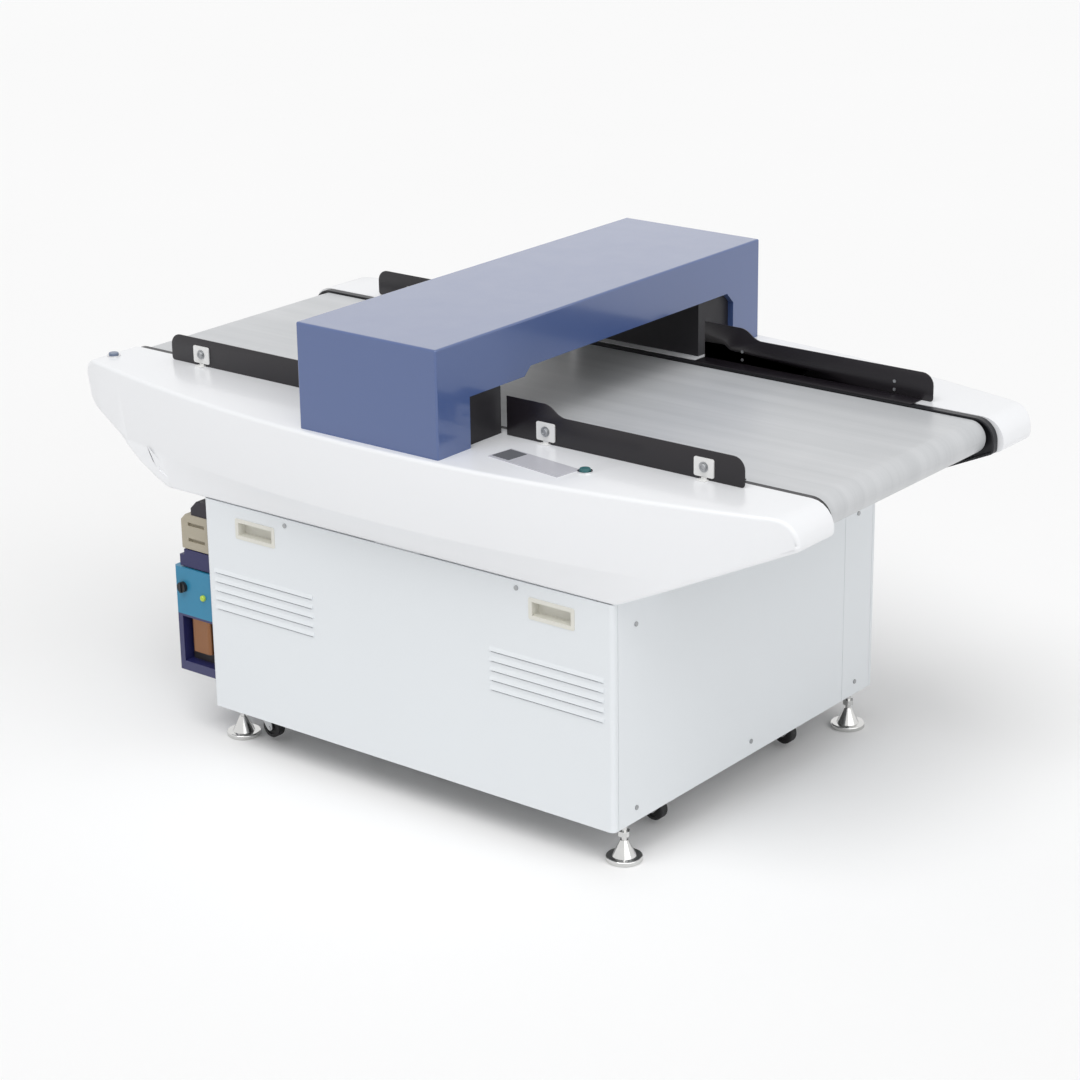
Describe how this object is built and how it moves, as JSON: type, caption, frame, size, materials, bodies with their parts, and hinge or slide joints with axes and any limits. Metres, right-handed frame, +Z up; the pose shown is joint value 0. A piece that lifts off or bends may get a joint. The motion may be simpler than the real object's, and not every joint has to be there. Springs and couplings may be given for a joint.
{
  "type": "conveyor metal detector",
  "caption": "Floor-standing conveyor metal detector: a belt passes through a blue tunnel head above a white cabinet with boat-shaped consoles, side guides and levelling feet.",
  "frame": {"origin": "on the floor, under the middle of the machine", "axes": "+X along the belt towards the output end, -Y the operator side, +Z up"},
  "size_m": [1.886, 1.15, 1.036],
  "materials": {
    "bearing_iron": "as cast",
    "bed_steel": "rolled sheet",
    "belt_grey": "smooth belting",
    "black_steel": "satin",
    "bracket_white": "satin",
    "button_blue": "gloss",
    "button_teal": "gloss",
    "cabinet_white": "satin powder coat",
    "cap_black": "satin",
    "castor_black": "matt",
    "castor_steel": "zinc plated",
    "chassis_navy": "satin",
    "coil_resin": "potted resin",
    "collar_chrome": "polished",
    "console_white": "semi-gloss moulding",
    "contactor_beige": "satin",
    "core_black": "varnished laminations",
    "display_dark": "gloss window",
    "drive_rubber": "matt",
    "foot_chrome": "polished",
    "frame_paint": "satin powder coat",
    "guide_black": "satin",
    "head_blue": "gloss powder coat",
    "inverter_cyan": "satin",
    "knob_black": "satin",
    "lamp_green": "gloss lens",
    "liner_black": "matt",
    "membrane_grey": "satin film",
    "motor_paint": "painted casting",
    "pull_plastic": "satin",
    "relay_navy": "satin",
    "roller_steel": "turned",
    "screw_steel": "plain",
    "winding_copper": "varnished winding",
    "zinc_sheet": "zinc plated"
  },
  "bodies": {
    "cabinet": {"base_plate": "zinc_sheet", "bed_crossbars": "zinc_sheet", "bulkheads": "cabinet_white", "button_collars": "collar_chrome", "castor_plates": "castor_steel", "contactor": "contactor_beige", "contactor_cap": "cap_black", "control_plate": "membrane_grey", "conveyor_belt": "belt_grey", "display_lens": "display_dark", "drive_belt": "drive_rubber", "electrical_chassis": "chassis_navy", "far_console": "console_white", "far_guides": "guide_black", "far_side_frame": "black_steel", "flush_pulls": "pull_plastic", "frame_posts": "frame_paint", "frame_rails": "frame_paint", "front_panel": "cabinet_white", "gear_motor": "motor_paint", "guide_brackets": "bracket_white", "head_cover": "head_blue", "head_uprights": "zinc_sheet", "input_end_panel": "cabinet_white", "inverter_lamp": "lamp_green", "lower_coil": "coil_resin", "motor_stand": "zinc_sheet", "near_console": "console_white", "near_guides": "guide_black", "near_side_frame": "black_steel", "output_end_panel": "cabinet_white", "overload_relay": "relay_navy", "rear_panel": "cabinet_white", "roller_bearings": "bearing_iron", "screws": "screw_steel", "slider_bed": "bed_steel", "speed_inverter": "inverter_cyan", "transformer_core": "core_black", "transformer_winding": "winding_copper", "tunnel_liner": "liner_black", "upper_coil": "coil_resin"},
    "drive_drum": {"drive_drum": "roller_steel"},
    "output_roller": {"output_roller": "roller_steel"},
    "input_roller": {"input_roller": "roller_steel"},
    "output_snub_roller": {"output_snub_roller": "roller_steel"},
    "input_snub_roller": {"input_snub_roller": "roller_steel"},
    "motor_pulley": {"motor_pulley": "roller_steel"},
    "start_button": {"start_button": "button_teal"},
    "stop_button": {"stop_button": "button_blue"},
    "inverter_knob": {"inverter_knob": "knob_black"},
    "foot_near_input": {"foot_near_input": "foot_chrome"},
    "castor_wheel_near_input": {"castor_wheel_near_input": "castor_black"},
    "foot_near_output": {"foot_near_output": "foot_chrome"},
    "castor_wheel_near_output": {"castor_wheel_near_output": "castor_black"},
    "castor_fork_near": {"castor_fork_near": "castor_steel"},
    "foot_far_input": {"foot_far_input": "foot_chrome"},
    "castor_wheel_far_input": {"castor_wheel_far_input": "castor_black"},
    "foot_far_output": {"foot_far_output": "foot_chrome"},
    "castor_wheel_far_output": {"castor_wheel_far_output": "castor_black"},
    "castor_fork_far": {"castor_fork_far": "castor_steel"}
  },
  "joints": [
    {"name": "drum_turn", "type": "hinge", "parent": "cabinet", "child": "drive_drum", "pos_m": [0, 0, 0.627], "axis": [0, 1, 0], "continuous": true},
    {"name": "output_roller_turn", "type": "hinge", "parent": "cabinet", "child": "output_roller", "pos_m": [0.877, 0, 0.7727], "axis": [0, 1, 0], "continuous": true},
    {"name": "input_roller_turn", "type": "hinge", "parent": "cabinet", "child": "input_roller", "pos_m": [-0.877, 0, 0.7727], "axis": [0, 1, 0], "continuous": true},
    {"name": "output_snub_turn", "type": "hinge", "parent": "cabinet", "child": "output_snub_roller", "pos_m": [0.0876, 0, 0.7121], "axis": [0, 1, 0], "continuous": true},
    {"name": "input_snub_turn", "type": "hinge", "parent": "cabinet", "child": "input_snub_roller", "pos_m": [-0.0876, 0, 0.7121], "axis": [0, 1, 0], "continuous": true},
    {"name": "motor_turn", "type": "hinge", "parent": "cabinet", "child": "motor_pulley", "pos_m": [0.12, 0, 0.387], "axis": [0, 1, 0], "continuous": true},
    {"name": "start_press", "type": "slide", "parent": "cabinet", "child": "start_button", "axis": [0, 0, -1], "range_m": [0, 0.003], "stiffness_N_per_m": 900},
    {"name": "stop_press", "type": "slide", "parent": "cabinet", "child": "stop_button", "axis": [0, 0, -1], "range_m": [0, 0.003], "stiffness_N_per_m": 900},
    {"name": "knob_turn", "type": "hinge", "parent": "cabinet", "child": "inverter_knob", "pos_m": [-0.638, 0, 0.343], "axis": [0, -1, 0], "range_deg": [-135, 135]},
    {"name": "foot_near_input_level", "type": "slide", "parent": "cabinet", "child": "foot_near_input", "axis": [0, 0, 1], "range_m": [-0.012, 0.02]},
    {"name": "foot_near_output_level", "type": "slide", "parent": "cabinet", "child": "foot_near_output", "axis": [0, 0, 1], "range_m": [-0.012, 0.02]},
    {"name": "foot_far_input_level", "type": "slide", "parent": "cabinet", "child": "foot_far_input", "axis": [0, 0, 1], "range_m": [-0.012, 0.02]},
    {"name": "foot_far_output_level", "type": "slide", "parent": "cabinet", "child": "foot_far_output", "axis": [0, 0, 1], "range_m": [-0.012, 0.02]},
    {"name": "castor_swivel_near", "type": "hinge", "parent": "cabinet", "child": "castor_fork_near", "pos_m": [0.5, -0.241, 0.07], "axis": [0, 0, 1], "continuous": true},
    {"name": "wheel_turn_near_output", "type": "hinge", "parent": "castor_fork_near", "child": "castor_wheel_near_output", "pos_m": [0.478, -0.241, 0.034], "axis": [0, 1, 0], "continuous": true},
    {"name": "wheel_turn_near_input", "type": "hinge", "parent": "cabinet", "child": "castor_wheel_near_input", "pos_m": [-0.45, -0.4, 0.034], "axis": [0, 1, 0], "continuous": true},
    {"name": "castor_swivel_far", "type": "hinge", "parent": "cabinet", "child": "castor_fork_far", "pos_m": [0.5, 0.241, 0.07], "axis": [0, 0, 1], "continuous": true},
    {"name": "wheel_turn_far_output", "type": "hinge", "parent": "castor_fork_far", "child": "castor_wheel_far_output", "pos_m": [0.478, 0.241, 0.034], "axis": [0, 1, 0], "continuous": true},
    {"name": "wheel_turn_far_input", "type": "hinge", "parent": "cabinet", "child": "castor_wheel_far_input", "pos_m": [-0.45, 0.4, 0.034], "axis": [0, 1, 0], "continuous": true}
  ],
  "couplings": [
    {"joint": "output_roller_turn", "follows": "drum_turn", "ratio": 1.8182},
    {"joint": "input_roller_turn", "follows": "drum_turn", "ratio": 1.8182},
    {"joint": "output_snub_turn", "follows": "drum_turn", "ratio": -2.4},
    {"joint": "input_snub_turn", "follows": "drum_turn", "ratio": -2.4},
    {"joint": "motor_turn", "follows": "drum_turn", "ratio": 1.5}
  ]
}
